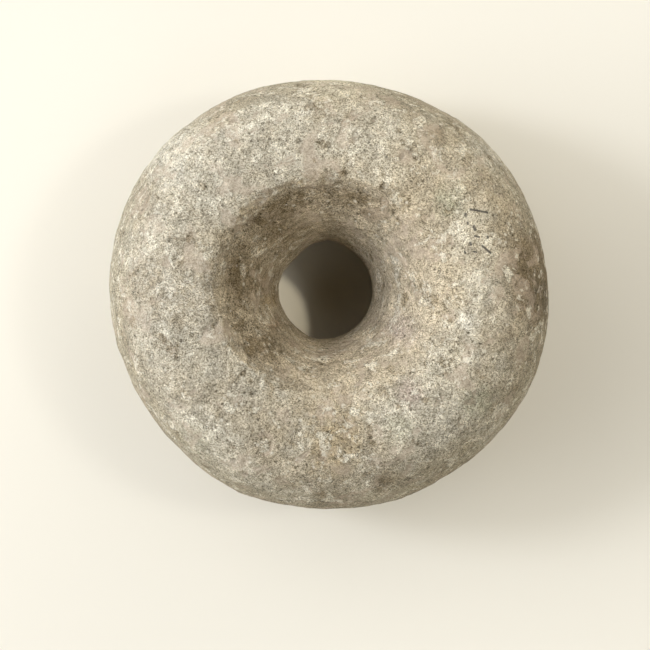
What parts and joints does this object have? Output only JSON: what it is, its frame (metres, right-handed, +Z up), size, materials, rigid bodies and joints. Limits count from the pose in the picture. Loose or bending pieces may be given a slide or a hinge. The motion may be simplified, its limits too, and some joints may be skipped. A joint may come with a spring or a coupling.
{
  "type": "perforated stone ring",
  "caption": "Heavy pecked stone ring with a rounded barrel side, flattened faces and an hourglass-drilled hole; a bored stone, also read as a spindle whorl.",
  "frame": {"origin": "on the underside's level, below the middle of the ring's bounding box", "axes": "+Z up along the hole from the worn foot ring to the upper face; +X runs close to the long axis of the slightly oval plan"},
  "size_m": [0.1494, 0.1458, 0.088],
  "materials": {
    "pecked_stone": "rough, pecked and weathered grey-beige stone, ground smoother in the hole"
  },
  "bodies": {
    "root": {"stone_ring": "pecked_stone"}
  },
  "joints": []
}
